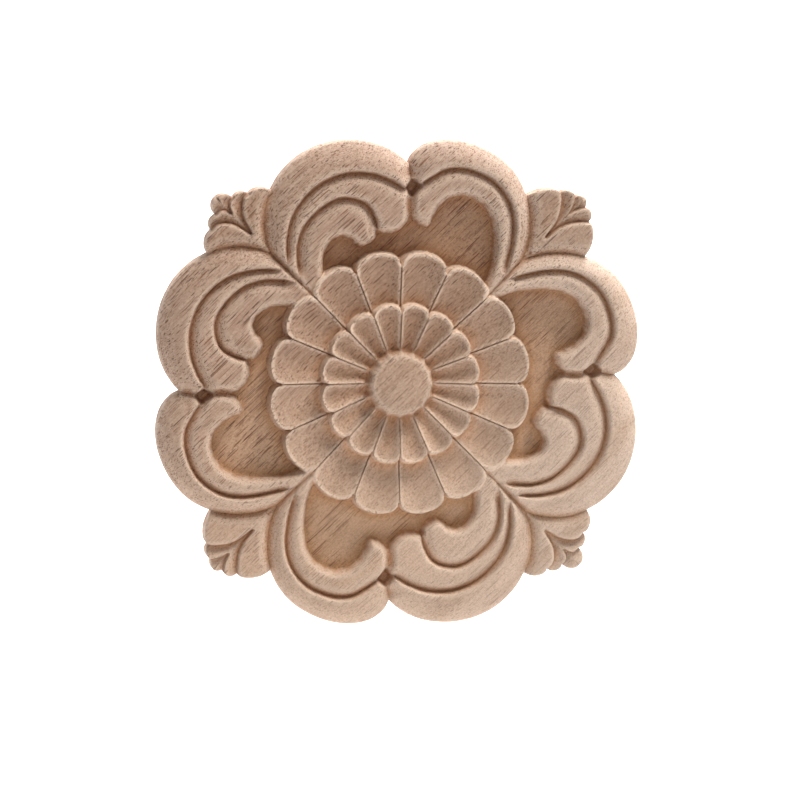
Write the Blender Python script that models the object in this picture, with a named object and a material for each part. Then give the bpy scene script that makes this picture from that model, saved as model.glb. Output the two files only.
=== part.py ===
"""A round carved wood applique: a rosette of two rows of petals, ringed by eight scrolled lobes and four leaves.

The back is flat and lies in the plane y = 0. The carving rises from it towards -Y, X is right and Z is up.
One quarter is drawn, between the two diagonals, and turned and mirrored about them into the whole.
"""

import math

import bmesh
import bpy
import numpy as np
from mathutils import Vector
from mathutils.geometry import delaunay_2d_cdt

MM = 0.001

# Heights above the back, in mm
GROUND = 5.5
POCKET = 3.5
VALLEY, ROOT_VALLEY = 8.6, 12.2
OUTER_CREST, MIDDLE_CREST, INNER_CREST = 14.0, 13.6, 13.2
LAP = 4.4
BALL_VALLEY = 9.5
LEAF, LEAFLET, BUD = 11.8, 11.2, 10.8
LEAF_FOOT = 8.3
RIM, RIM_ROOT, RIM_SCOOP = 15.0, 10.8, 1.3
ROW, ROW_ROOT, ROW_SCOOP = 16.5, 12.0, 2.6
BOSS_TOP, BOSS_FALL = 17.8, 1.2

# Rise over run of the carved walls, and how far the walls round the ground take to round over
GROUND_RUN, GROUND_STEEP = 4.6, 3.2
LAP_WALL = 3.4
LEAF_WALL = 4.2
POCKET_WALL = 6.0
PETAL_WALL = 16.0
ROW_WALL = 10.0
BOSS_WALL = 4.0

# Rosette, in mm: each row of petals runs from a notch out to a tip
PETALS = 16
OUTER_NOTCH, OUTER_TIP = 49.8, 55.1
INNER_NOTCH, INNER_TIP = 30.5, 33.5
BOSS_RADIUS = 13.7
GROOVE_DEPTH, GROOVE_HALF = 0.75, 0.4

# Where the roots of two lobes meet the leaf, where lines end on a diagonal, and the pocket between the lobes
SEAM_A, SEAM_B = (-53.6, 53.6), (50.6, 50.6)
ROOT_A1, ROOT_A2, ROOT_B1 = (-46.5, 46.5), (-41.4, 41.4), (42.4, 42.4)
NOTCH_A, NOTCH, NOTCH_B = (-53.4, 79.4), (3.2, 90.4), (52.4, 77.4)
MEET, BALLS_END, CURL_START = (4.7, 80.9), (4.1, 68.6), (-9.7, 62.4)
BUD_A, BUD_B = (-76.2, 76.2), (76.6, 76.6)
POCKET_CORE = ((2.9, 80.4), (4.9, 83.3), (7.3, 81.5), (4.5, 77.9))
SEAM_REACH, SEAM_WIDTH = 77.0, 3.6

# Points in mm that each carved line passes through: lobe A is left of the middle, lobe B right of it
KNOTS = {
    "valley_a": (SEAM_A, (-55.5, 59.0), (-56.4, 66.0), (-55.8, 73.0), NOTCH_A),
    "rim_a": (
        *(NOTCH_A, (-50.3, 84.8), (-46.0, 89.8), (-40.5, 94.2), (-33.0, 97.8), (-25.0, 99.6)),
        *((-18.0, 99.8), (-10.5, 98.6), (-4.0, 96.0), (1.0, 92.6), NOTCH),
    ),
    "ends": (NOTCH, (3.5, 87.5), (4.1, 84.6), MEET),
    "foot_a1": (
        *(ROOT_A1, (-46.7, 52.0), (-46.6, 60.0), (-44.3, 69.3), (-39.0, 77.2), (-31.5, 83.1)),
        *((-22.0, 86.3), (-12.5, 86.1), (-4.5, 83.4), (1.6, 80.0), MEET),
    ),
    "foot_a2": (
        *(ROOT_A2, (-42.2, 48.5), (-42.3, 56.5), (-39.8, 64.3), (-33.8, 71.3), (-26.8, 75.6)),
        *((-20.5, 76.0), (-14.6, 73.5), (-11.2, 68.2), CURL_START),
    ),
    "balls": (MEET, (3.9, 77.6), (3.5, 74.0), (3.7, 71.0), BALLS_END),
    "ball_a": (BALLS_END, (3.2, 66.3), (0.4, 63.2), (-3.2, 61.6), (-6.8, 61.5), CURL_START),
    "curl": (
        *(CURL_START, (-9.8, 60.0), (-12.2, 57.5), (-15.8, 56.0), (-18.6, 57.0), (-21.2, 59.2)),
        *((-24.2, 60.0), (-27.4, 58.7), (-29.9, 55.4), (-31.2, 50.8), (-31.0, 44.0), (-30.0, 40.0)),
    ),
    "rim_b": (
        *(NOTCH, (5.3, 94.2), (9.8, 97.8), (15.3, 99.6), (21.0, 100.0), (27.5, 99.1)),
        *((34.0, 96.9), (40.0, 93.7), (44.8, 89.9), (48.6, 85.4), (51.0, 80.9), NOTCH_B),
    ),
    "valley_b": (SEAM_B, (52.3, 55.0), (53.6, 60.5), (54.0, 66.5), (53.6, 72.0), NOTCH_B),
    "foot_b1": (
        *(MEET, (7.2, 81.3), (12.8, 84.8), (18.5, 87.8), (24.5, 88.4), (31.2, 86.8), (37.5, 83.6)),
        *((42.2, 78.8), (45.4, 72.8), (46.7, 65.5), (46.0, 57.5), (44.2, 49.7), ROOT_B1),
    ),
    "ball_b": (
        *(BALLS_END, (5.6, 66.8), (8.2, 64.9), (11.0, 64.2), (12.9, 65.5), (14.0, 68.5)),
        *((16.6, 72.7), (20.5, 75.9), (25.2, 77.0), (30.0, 75.9), (34.4, 72.7), (37.2, 68.0)),
        *((38.3, 62.0), (38.3, 55.5), (37.2, 48.3), (34.6, 41.2), (32.6, 37.0)),
    ),
    "big_a": (NOTCH_A, (-55.3, 80.2), (-57.8, 80.4), (-60.6, 79.7), (-62.9, 77.9)),
    "small_a": ((-62.9, 77.9), (-64.2, 78.6), (-66.0, 78.6), (-67.8, 77.8), (-69.2, 76.2)),
    "bud_a": ((-69.2, 76.2), (-71.0, 77.4), (-73.2, 77.7), (-75.2, 77.1), BUD_A),
    "leaf_a1": ((-62.9, 77.9), (-65.2, 76.0), (-66.0, 72.5), (-65.2, 68.0), (-61.8, 61.8)),
    "leaf_a2": ((-69.2, 76.2), (-70.8, 74.4), (-71.0, 72.4), (-69.8, 69.8)),
    "big_b": (NOTCH_B, (55.0, 78.7), (58.2, 79.9), (61.8, 80.3), (64.8, 79.9), (66.6, 78.8)),
    "small_b": ((66.6, 78.8), (68.2, 79.6), (70.2, 79.5), (71.8, 78.6), (72.6, 77.2)),
    "bud_b": ((72.6, 77.2), (74.2, 77.5), (75.8, 77.2), BUD_B),
    "leaf_b1": ((66.6, 78.8), (66.9, 75.5), (66.4, 70.5), (64.6, 66.0), (60.6, 60.6)),
    "leaf_b2": ((72.6, 77.2), (72.2, 74.5), (71.4, 72.2), (70.2, 70.2)),
}

# Facets, in mm
LINE_STEP = 2.8
ROUND_STEP = 2.0
OPEN_STEP = 5.0
SNAP = 0.45
WALL_RUN = 0.65
READ_STEP = 0.8

# Lines drawn beside each wall's foot: the spacing of their points, then how far they lie to the left of it
BESIDE = {
    "foot_a1": (LINE_STEP, (1.3, -1.6, -4.4)),
    "foot_a2": (LINE_STEP, (1.3, -1.6, -4.4)),
    "foot_b1": (LINE_STEP, (1.3, -1.6, -4.0)),
    "ball_a": (ROUND_STEP, (-1.2, -3.0)),
    "curl": (ROUND_STEP, (-1.2, -3.0)),
    "ball_b": (ROUND_STEP, (1.2, 3.0)),
    "leaf_a1": (ROUND_STEP, (1.6, -2.0)),
    "leaf_b1": (ROUND_STEP, (-1.6, 2.0)),
    "leaf_a2": (ROUND_STEP, (1.2,)),
    "leaf_b2": (ROUND_STEP, (-1.2,)),
    "edge_a": (LINE_STEP, (-1.2, -3.6, -7.5)),
    "edge_b": (LINE_STEP, (1.2, 3.6, 7.5)),
    "valley_a": (LINE_STEP, (2.0,)),
    "valley_b": (LINE_STEP, (-2.0,)),
    "balls": (LINE_STEP, (-3.4, -1.5, 1.5, 3.4)),
    "seam_a": (LINE_STEP, (1.4, 3.4)),
    "seam_b": (LINE_STEP, (-1.4, -3.4)),
}
EDGES = {"edge_a": ("valley_a", "rim_a"), "edge_b": ("valley_b", "rim_b")}


def smooth(knots, step):
    """Points about step apart on the smooth curve through the knots."""
    k = np.array(knots, float)
    k = np.vstack([2 * k[0] - k[1], k, 2 * k[-1] - k[-2]])
    t = np.linspace(0, 1, 24, endpoint=False)[:, None]
    runs = [
        b + 0.5 * ((c - a) * t + (2 * a - 5 * b + 4 * c - d) * t**2 + (3 * b - a - 3 * c + d) * t**3)
        for a, b, c, d in zip(k, k[1:], k[2:], k[3:])
    ]
    curve = np.vstack([*runs, k[-2:-1]])
    along = np.concatenate([[0], np.cumsum(np.hypot(*np.diff(curve, axis=0).T))])
    stops = np.linspace(0, along[-1], max(1, round(along[-1] / step)) + 1)
    return np.column_stack([np.interp(stops, along, curve[:, i]) for i in (0, 1)])


LINES = {name: smooth(knots, READ_STEP) for name, knots in KNOTS.items()}
OUTLINE = ("bud_a", "small_a", "big_a", "rim_a", "rim_b", "big_b", "small_b", "bud_b")
OVERLAP = 1.001
INWARD = 0.9998


def away(points, line):
    """Distance of each point from a line of points."""
    start, run = line[:-1], np.diff(line, axis=0)
    square = np.maximum((run * run).sum(axis=1), 1e-12)
    part = np.clip(((points[:, None] - start) * run).sum(axis=2) / square, 0, 1)
    gap = points[:, None] - start - part[..., None] * run
    return np.sqrt((gap * gap).sum(axis=2).min(axis=1))


def inside(points, outline):
    x, z = points.T
    hit = np.zeros(len(points), bool)
    for (x0, z0), (x1, z1) in zip(outline, np.roll(outline, -1, axis=0)):
        if z0 != z1:
            hit ^= ((z0 > z) != (z1 > z)) & (x < x0 + (z - z0) * (x1 - x0) / (z1 - z0))
    return hit


def arch(t, power=2.0):
    """Rises steeply from 0 and levels off at 1."""
    return 1 - (1 - np.clip(t, 0, 1)) ** power


def ease(t):
    t = np.clip(t, 0, 1)
    return t * t * (3 - 2 * t)


def valley(points):
    """Height of the seams between lobes, which rise towards the rosette."""
    rho = np.hypot(*points.T)
    return VALLEY + (ROOT_VALLEY - VALLEY) * ease((76 - rho) / 26)


def lap_foot(points, root, crest):
    """Height at which a band comes out from under its neighbour: the step dies away at the root."""
    return crest - LAP * ease((np.hypot(*(points - root).T) - 0.5) / 7.5)


def outer_band(points, edge, foot, root):
    from_edge, from_foot = away(points, edge), away(points, LINES[foot])
    low = valley(points)
    swell = low + (OUTER_CREST - low) * arch(from_edge / (from_edge + from_foot + 1e-9))
    return np.minimum(swell, lap_foot(points, root, MIDDLE_CREST) + LAP_WALL * from_foot)


def lapped_band(points, foot, root, edge, crest, width):
    """A band that starts low beside its outer neighbour and swells to its own crest."""
    from_foot, from_edge = away(points, LINES[foot]), away(points, edge)
    low = lap_foot(points, root, crest)
    return low + (crest - low) * arch(from_foot / np.minimum(width, from_foot + from_edge + 1e-9), 2.4)


def ground_wall(points, foot):
    return GROUND + (OUTER_CREST - GROUND) * arch(away(points, LINES[foot]) / GROUND_RUN, GROUND_STEEP)


def balls_valley(points):
    return BALL_VALLEY + (OUTER_CREST - BALL_VALLEY) * arch(away(points, LINES["balls"]) / 3.5)


def middle_a(points):
    edge = np.vstack([LINES["foot_a2"], LINES["ball_a"][::-1]])
    swell = lapped_band(points, "foot_a1", ROOT_A1, edge, MIDDLE_CREST, 6.0)
    step = lap_foot(points, ROOT_A2, INNER_CREST) + LAP_WALL * away(points, LINES["foot_a2"])
    return np.minimum.reduce([swell, step, ground_wall(points, "ball_a"), balls_valley(points)])


def inner_a(points):
    swell = lapped_band(points, "foot_a2", ROOT_A2, LINES["curl"], INNER_CREST, 6.0)
    return np.minimum(swell, ground_wall(points, "curl"))


def inner_b(points):
    swell = lapped_band(points, "foot_b1", ROOT_B1, LINES["ball_b"], MIDDLE_CREST, 5.0)
    return np.minimum.reduce([swell, ground_wall(points, "ball_b"), balls_valley(points)])


def big_leaflet(points, side):
    low = valley(points)
    face = low + (LEAF - low) * arch(away(points, LINES["valley_" + side]) / 4.5)
    return np.minimum(face, LEAF_FOOT + LEAF_WALL * away(points, LINES[f"leaf_{side}1"]))


def small_leaflet(points, side):
    face = LEAF_FOOT + (LEAFLET - LEAF_FOOT) * arch(away(points, LINES[f"leaf_{side}1"]) / 5.0, 1.6)
    return np.minimum(face, LEAF_FOOT + LEAF_WALL * away(points, LINES[f"leaf_{side}2"]))


def bud(points, side):
    return LEAF_FOOT + (BUD - LEAF_FOOT) * arch(away(points, LINES[f"leaf_{side}2"]) / 4.5, 1.5)


def areas():
    """Each carved area of the quarter, drawn slightly over the outline, and the function that gives its height."""
    line = LINES | {name: LINES[name] * OVERLAP for name in OUTLINE}
    edge_a = np.vstack([[ROOT_A1], line["valley_a"], line["rim_a"], line["ends"]])
    edge_b = np.vstack([[ROOT_B1], line["valley_b"], line["rim_b"][::-1], line["ends"]])
    found = [
        (np.vstack([edge_a, line["foot_a1"][::-1]]), lambda p: outer_band(p, edge_a, "foot_a1", ROOT_A1)),
        (np.vstack([edge_b, line["foot_b1"]]), lambda p: outer_band(p, edge_b, "foot_b1", ROOT_B1)),
        (np.vstack([line["foot_a1"], line["balls"], line["ball_a"], line["foot_a2"][::-1]]), middle_a),
        (np.vstack([line["foot_a2"], line["curl"], [(-20, 20)]]), inner_a),
        (np.vstack([line["foot_b1"], [(20, 20)], line["ball_b"][::-1], line["balls"][::-1]]), inner_b),
    ]
    for side in "ab":
        first, second = line[f"leaf_{side}1"], line[f"leaf_{side}2"]
        big = np.vstack([line["valley_" + side], line["big_" + side], first])
        small = np.vstack([first[::-1], line["small_" + side], second])
        tip = np.vstack([second[::-1], line["bud_" + side]])
        found += [
            (big, lambda p, side=side: big_leaflet(p, side)),
            (small, lambda p, side=side: small_leaflet(p, side)),
            (tip, lambda p, side=side: bud(p, side)),
        ]
    return found


AREAS = areas()


def seam_cut(points):
    """The valley along each diagonal, between the roots of two lobes."""
    x, z = points.T
    gap = np.minimum(abs(x + z), abs(x - z)) / math.sqrt(2)
    low = valley(points)
    cut = low + (OUTER_CREST + 0.2 - low) * arch(gap / SEAM_WIDTH)
    return np.where((np.hypot(x, z) < SEAM_REACH) & (gap < SEAM_WIDTH), cut, BOSS_TOP)


def pocket_cut(points):
    core = np.array([*POCKET_CORE, POCKET_CORE[0]])
    return POCKET + POCKET_WALL * np.where(inside(points, core), 0, away(points, core))


def surround(points):
    """Height of the lobes, the leaves and the ground, as if there were no rosette."""
    height = np.full(len(points), GROUND)
    for outline, carve in AREAS:
        here = inside(points, outline)
        if here.any():
            height[here] = np.minimum(carve(points[here]), np.maximum(seam_cut(points[here]), GROUND))
    return np.minimum(height, pocket_cut(points))


def bulge(turn):
    """0 at a notch between two petals, 1 at the middle of a petal; turn counts petals."""
    across = 2 * (turn - np.floor(turn)) - 1
    return np.sqrt(np.maximum(1 - across * across, 0))


def scallops(notch, tip, step, spare=0.0):
    """The scalloped edge of a row of petals over the quarter."""
    count = 2 * math.ceil((2 * tip - notch) / PETALS * 2.2 / step)
    across = (1 - np.cos(np.linspace(0, np.pi, count + 1))) / 2
    turns = np.unique(np.concatenate([first + across for first in range(2, 6)] + [[2 - spare, 6 + spare]]))
    theta = turns * 2 * np.pi / PETALS
    radius = notch + (tip - notch) * bulge(turns)
    return np.column_stack([radius * np.cos(theta), radius * np.sin(theta)])


def from_scallops(points, notch, tip):
    """How far inside a scalloped edge each point is, counted up to 4 mm."""
    gap = np.full(len(points), 4.0)
    near = np.hypot(*points.T) > notch - 4
    gap[near] = away(points[near], scallops(notch, tip, 0.4, 0.3))
    return gap


def rosette(points, around):
    x, z = points.T
    rho = np.hypot(x, z)
    turn = np.arctan2(z, x) * PETALS / (2 * np.pi)
    round_out = bulge(turn)
    outer = OUTER_NOTCH + (OUTER_TIP - OUTER_NOTCH) * round_out
    inner = INNER_NOTCH + (INNER_TIP - INNER_NOTCH) * round_out
    off_line = rho * abs(np.sin((turn - np.round(turn)) * 2 * np.pi / PETALS))
    groove = GROOVE_DEPTH * np.maximum(1 - off_line / GROOVE_HALF, 0)

    t = np.clip((rho - inner) / (outer - inner), 0, 1)
    gap = from_scallops(points, OUTER_NOTCH, OUTER_TIP)
    petal = RIM_ROOT + (RIM - RIM_ROOT) * t**1.3 - RIM_SCOOP * round_out**2 * arch(gap / 3.4) - groove
    petal = np.minimum(petal, around + PETAL_WALL * gap)

    t = np.clip((rho - BOSS_RADIUS) / (inner - BOSS_RADIUS), 0, 1)
    gap = from_scallops(points, INNER_NOTCH, INNER_TIP)
    row = ROW_ROOT + (ROW - ROW_ROOT) * t - ROW_SCOOP * round_out**2 * arch(gap / 4.0)
    row = row - groove * np.clip((rho - BOSS_RADIUS) / 2, 0, 1)
    row = np.minimum(row, RIM_ROOT - RIM_SCOOP * round_out**2 + ROW_WALL * gap)

    boss = BOSS_TOP - BOSS_FALL * (rho / BOSS_RADIUS) ** 2
    boss = np.minimum(boss, ROW_ROOT - ROW_SCOOP * round_out**2 + BOSS_WALL * (BOSS_RADIUS - rho))
    return np.select([rho < BOSS_RADIUS, rho < inner, rho < outer], [boss, row, petal], around)


def relief(points):
    """Height of the carving above the back at points of the quarter, in mm, read just inside its diagonals."""
    points = points * (INWARD, 1)
    return rosette(points, surround(points))


def beside(line, offset, keep_off):
    """The line moved sideways, to the left of its run, and which of its points stay clear of the other lines."""
    run = np.diff(line, axis=0)
    left = np.column_stack([-run[:, 1], run[:, 0]]) / np.hypot(*run.T)[:, None]
    before, after = np.vstack([left[:1], left]), np.vstack([left, left[-1:]])
    corner = before + after
    corner /= np.hypot(*corner.T)[:, None]
    mitre = np.minimum(1 / np.maximum((corner * after).sum(axis=1), 0.1), 1.2)
    moved = line + offset * mitre[:, None] * corner
    clear = away(moved, line) > 0.97 * abs(offset)
    for other in keep_off:
        clear &= away(moved, other) > 0.7
    return moved, clear


class Plan:
    """The points and edges of the quarter, seen from the front, that the facets have to follow."""

    def __init__(self, outline):
        self.outline = outline
        self.points = []
        self.edges = set()

    def add_point(self, point):
        if self.points:
            gaps = np.hypot(*(np.array(self.points) - point).T)
            near = int(gaps.argmin())
            if gaps[near] < SNAP:
                return near
        self.points.append(tuple(point))
        return len(self.points) - 1

    def within(self, points):
        x, z = points.T
        off_diagonals = (z - abs(x)) / math.sqrt(2) > SNAP
        return inside(points, self.outline) & off_diagonals & (away(points, self.outline) > SNAP)

    def add_line(self, line, keep=None):
        """Adds a line, its ends first, broken where its points are not kept."""
        for end in (0, -1):
            if keep is None or keep[end]:
                self.add_point(line[end])
        before = None
        for at, point in enumerate(line):
            here = self.add_point(point) if keep is None or keep[at] else None
            if here is not None and before is not None and here != before:
                self.edges.add((min(before, here), max(before, here)))
            before = here

    def add_diagonals(self):
        """Closes the quarter along both diagonals, through every point that lies on them."""
        for side in (-1, 1):
            on = [i for i, (x, z) in enumerate(self.points) if abs(z - side * x) < 1e-6]
            on.sort(key=lambda i: self.points[i][1])
            self.edges |= {(min(pair), max(pair)) for pair in zip(on, on[1:])}

    def add_open_points(self, step):
        """Fills the room between the lines with points in rows."""
        rows = np.arange(0, 104, step * math.sqrt(3) / 2)
        grid = [(x, z) for i, z in enumerate(rows) for x in np.arange(-80 + step / 2 * (i % 2), 80, step)]
        grid = np.array(grid)
        grid = grid[self.within(grid)]
        placed = np.array(self.points)
        gaps = np.hypot(*(grid[:, None] - placed).transpose(2, 0, 1)).min(axis=1)
        self.points += [tuple(point) for point in grid[gaps > 0.62 * step]]


def quarter_outline():
    left = [smooth(KNOTS[name], LINE_STEP)[::-1] for name in OUTLINE[:3]]
    return np.vstack(left + [smooth(KNOTS[name], LINE_STEP) for name in OUTLINE[3:]])


def lobe_edge(side):
    """The outer edge of a lobe from the diagonal round to the notch between the lobes."""
    valley_line = smooth(KNOTS["valley_" + side], LINE_STEP)
    rim = smooth(KNOTS["rim_" + side], LINE_STEP)
    return np.vstack([valley_line[:-1], rim if side == "a" else rim[::-1]])


def draw_quarter():
    edge = quarter_outline()
    plan = Plan(np.vstack([[(0, 0)], edge, [(0, 0)]]))
    plan.add_line(edge)
    plan.add_point((0.0, 0.0))
    draw_rosette(plan)
    draw_carved_lines(plan)
    plan.add_diagonals()
    plan.add_open_points(OPEN_STEP)
    return plan


def draw_carved_lines(plan):
    """The foot of each wall, its crest a little way up the higher side, and lines where the faces bend."""
    rosette_edge = scallops(OUTER_NOTCH, OUTER_TIP, 1.0)
    feet = {name: smooth(KNOTS[name], step) for name, (step, _) in BESIDE.items() if name in KNOTS}
    feet |= {"edge_" + side: lobe_edge(side) for side in "ab"}
    feet["seam_a"] = smooth((SEAM_A, (-37, 37)), LINE_STEP)
    feet["seam_b"] = smooth((SEAM_B, (37, 37)), LINE_STEP)
    for name, line in feet.items():
        plan.add_line(line, np.hypot(*line.T) > OUTER_NOTCH + 1)
    plan.add_line(smooth(KNOTS["ends"], LINE_STEP))
    plan.add_line(np.array([*POCKET_CORE, POCKET_CORE[0]]))
    for name, (_, offsets) in BESIDE.items():
        others = [LINES[other] for other in KNOTS if other not in EDGES.get(name, name)]
        for offset in offsets:
            moved, clear = beside(feet[name], offset, [*others, rosette_edge])
            plan.add_line(moved, clear & plan.within(moved) & (np.hypot(*moved.T) > OUTER_NOTCH + 1))


def draw_rosette(plan):
    """The scalloped edge of each row, the boss, the groove on each side of a petal and the line down its middle."""
    for notch, tip in ((OUTER_NOTCH, OUTER_TIP), (INNER_NOTCH, INNER_TIP)):
        edge = scallops(notch, tip, LINE_STEP)
        plan.add_line(edge)
        plan.add_line(*beside(edge, WALL_RUN, []))
    for radius in (BOSS_RADIUS, BOSS_RADIUS - 1.5, BOSS_RADIUS / 2):
        count = round(radius * math.pi / 2 / LINE_STEP / 2) * 2
        theta = np.linspace(math.pi / 4, 3 * math.pi / 4, count + 1)
        plan.add_line(radius * np.column_stack([np.cos(theta), np.sin(theta)]))
    for half_turn in range(4, 13):
        theta = half_turn * math.pi / PETALS
        out = np.array([math.cos(theta), math.sin(theta)])
        side = np.array([-out[1], out[0]])
        for start, stop in ((BOSS_RADIUS, INNER_NOTCH - WALL_RUN), (INNER_TIP + 1, OUTER_NOTCH - WALL_RUN)):
            run = np.linspace(start, stop, round((stop - start) / 5) + 1)[half_turn % 2 :, None] * out
            plan.add_line(run)
            for shift in () if half_turn % 2 else (-GROOVE_HALF, GROOVE_HALF):
                beside_run = run + shift * side
                plan.add_line(beside_run, plan.within(beside_run))


def quarter_facets(plan):
    """The facets of the quarter: its points in mm as x, z and height, and its triangles."""
    points = [Vector(point) for point in plan.points]
    found = delaunay_2d_cdt(points, sorted(plan.edges), [], 1, 1e-5)
    flat = np.array([tuple(point) for point in found[0]])
    return np.column_stack([flat, relief(flat)]), found[2]


def add_relief(mesh, solid, triangles):
    """Adds the four quarters: as drawn, mirrored about each diagonal, and turned half round."""
    turns = (
        (1, 0, 0, 1),
        (0, -1, -1, 0),
        (0, 1, 1, 0),
        (-1, 0, 0, -1),
    )
    for xx, xz, zx, zz in turns:
        verts = [
            mesh.verts.new((MM * (xx * x + xz * z), -MM * height, MM * (zx * x + zz * z)))
            for x, z, height in solid
        ]
        mirrored = xx * zz - xz * zx < 0
        for corners in triangles:
            mesh.faces.new([verts[i] for i in (reversed(corners) if mirrored else corners)])
    bmesh.ops.remove_doubles(mesh, verts=mesh.verts, dist=0.02 * MM)


def add_back(mesh):
    """Drops a wall from the outline of the relief to the back, and closes the back."""
    rim = [edge for edge in mesh.edges if edge.is_boundary]
    drop = bmesh.ops.extrude_edge_only(mesh, edges=rim)["geom"]
    for vert in drop:
        if isinstance(vert, bmesh.types.BMVert):
            vert.co.y = 0
    foot = [edge for edge in mesh.edges if edge.is_boundary]
    bmesh.ops.triangle_fill(mesh, use_beauty=True, use_dissolve=False, edges=foot)
    bmesh.ops.recalc_face_normals(mesh, faces=mesh.faces)


def wood():
    material = bpy.data.materials.new("rubberwood")
    material.use_nodes = True
    shader = material.node_tree.nodes["Principled BSDF"]
    shader.inputs["Base Color"].default_value = (0.50, 0.34, 0.24, 1)
    shader.inputs["Roughness"].default_value = 0.75
    shader.inputs["Metallic"].default_value = 0
    return material


def build():
    for obj in list(bpy.data.objects):
        bpy.data.objects.remove(obj)
    mesh = bmesh.new()
    add_relief(mesh, *quarter_facets(draw_quarter()))
    add_back(mesh)
    data = bpy.data.meshes.new("carved_applique")
    mesh.to_mesh(data)
    mesh.free()
    data.materials.append(wood())
    data.shade_smooth()
    data.set_sharp_from_angle(angle=math.radians(30))
    applique = bpy.data.objects.new("carved_applique", data)
    bpy.context.scene.collection.objects.link(applique)


build()
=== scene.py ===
"""Looks of the carved round wood applique: the fine relief in bare rubberwood, the studio and the camera."""

import math

import bmesh
import bpy
import numpy as np
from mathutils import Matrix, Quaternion, Vector, kdtree, noise
from mathutils.geometry import delaunay_2d_cdt


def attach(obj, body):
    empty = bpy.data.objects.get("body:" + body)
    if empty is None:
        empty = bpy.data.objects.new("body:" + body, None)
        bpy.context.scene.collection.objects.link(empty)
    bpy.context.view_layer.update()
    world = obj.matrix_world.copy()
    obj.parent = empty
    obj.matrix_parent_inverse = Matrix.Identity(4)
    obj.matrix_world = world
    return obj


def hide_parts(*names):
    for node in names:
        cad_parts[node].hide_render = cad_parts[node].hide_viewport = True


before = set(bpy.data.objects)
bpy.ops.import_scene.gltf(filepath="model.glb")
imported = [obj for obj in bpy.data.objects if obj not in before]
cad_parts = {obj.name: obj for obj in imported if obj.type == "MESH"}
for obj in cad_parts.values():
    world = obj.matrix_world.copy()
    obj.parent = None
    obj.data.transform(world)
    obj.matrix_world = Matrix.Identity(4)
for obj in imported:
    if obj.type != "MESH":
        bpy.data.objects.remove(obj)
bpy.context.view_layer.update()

# Metres in a millimetre, and the scale that keeps the smooth outline inside the box of the faceted solid
MM = 0.001
INSET = 0.9999

# Heights above the back, in mm
GROUND = 5.5
POCKET = 3.5
VALLEY, ROOT_VALLEY = 8.6, 12.2
OUTER_CREST, MIDDLE_CREST, INNER_CREST = 14.0, 13.6, 13.2
LAP = 4.4
BALL_VALLEY = 9.5
LEAF, LEAFLET, BUD = 11.8, 11.2, 10.8
LEAF_FOOT = 8.3
RIM, RIM_ROOT, RIM_SCOOP = 15.0, 10.8, 1.3
ROW, ROW_ROOT, ROW_SCOOP = 16.5, 12.0, 2.6
BOSS_TOP, BOSS_FALL = 17.8, 1.2

# Rise over run of the carved walls
GROUND_RUN, GROUND_STEEP = 4.6, 3.2
LAP_WALL = 3.4
LEAF_WALL = 4.2
POCKET_WALL = 6.0
PETAL_WALL = 16.0
ROW_WALL = 10.0
BOSS_WALL = 4.0

# Widths in mm: of the seams and of the slopes beside other lines
SEAM_REACH, SEAM_WIDTH = 77.0, 3.6
VALLEY_START, VALLEY_RUN = 76, 26
ROOT_CLEAR, ROOT_RUN = 0.5, 7.5
MIDDLE_WIDTH, INNER_WIDTH = 6.0, 5.0
BALL_ROUND, BALL_RUN, BALL_RISE = 0.9, 3.6, 0.6
BIG_RUN, SMALL_RUN, BUD_RUN = 4.5, 5.0, 4.5

# How far each kind of crest is rounded over, in mm of height
LAP_ROUND, GROUND_ROUND, LEAF_ROUND, PETAL_ROUND, BOSS_ROUND = 0.9, 1.2, 0.5, 0.8, 1.4

# Rounding of the outer edge in mm, the share of it that the edge falls, and the wear of sharp corners in mm
EDGE_ROUND, EDGE_FALL = 1.3, 0.8
SETTLE = 0.3

# Rosette, in mm: each row of petals runs from a notch out to a tip
PETALS = 16
OUTER_NOTCH, OUTER_TIP = 49.8, 55.1
INNER_NOTCH, INNER_TIP = 30.5, 33.5
BOSS_RADIUS = 13.7
PETAL_REACH = 4.0
GROOVE_DEPTH, GROOVE_HALF = 0.75, 0.32
LIP_FALL, LIP_WIDTH = 0.3, 1.1
RIM_FALL, RIM_RUN = 1.2, 1.5
RIM_DISH, ROW_DISH = 3.4, 4.0

# Where the roots of two lobes meet the leaf, where lines end on a diagonal, and the pocket between the lobes
SEAM_A, SEAM_B = (-53.6, 53.6), (50.6, 50.6)
ROOT_A1, ROOT_A2, ROOT_B1 = (-46.5, 46.5), (-41.4, 41.4), (42.4, 42.4)
NOTCH_A, NOTCH, NOTCH_B = (-53.4, 79.4), (3.2, 90.4), (52.4, 77.4)
MEET, BALLS_END, CURL_START = (4.7, 80.9), (4.1, 68.6), (-9.7, 62.4)
BUD_A, BUD_B = (-76.2, 76.2), (76.6, 76.6)
POCKET_CORE = ((2.9, 80.4), (4.9, 83.3), (7.3, 81.5), (4.5, 77.9))

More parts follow.
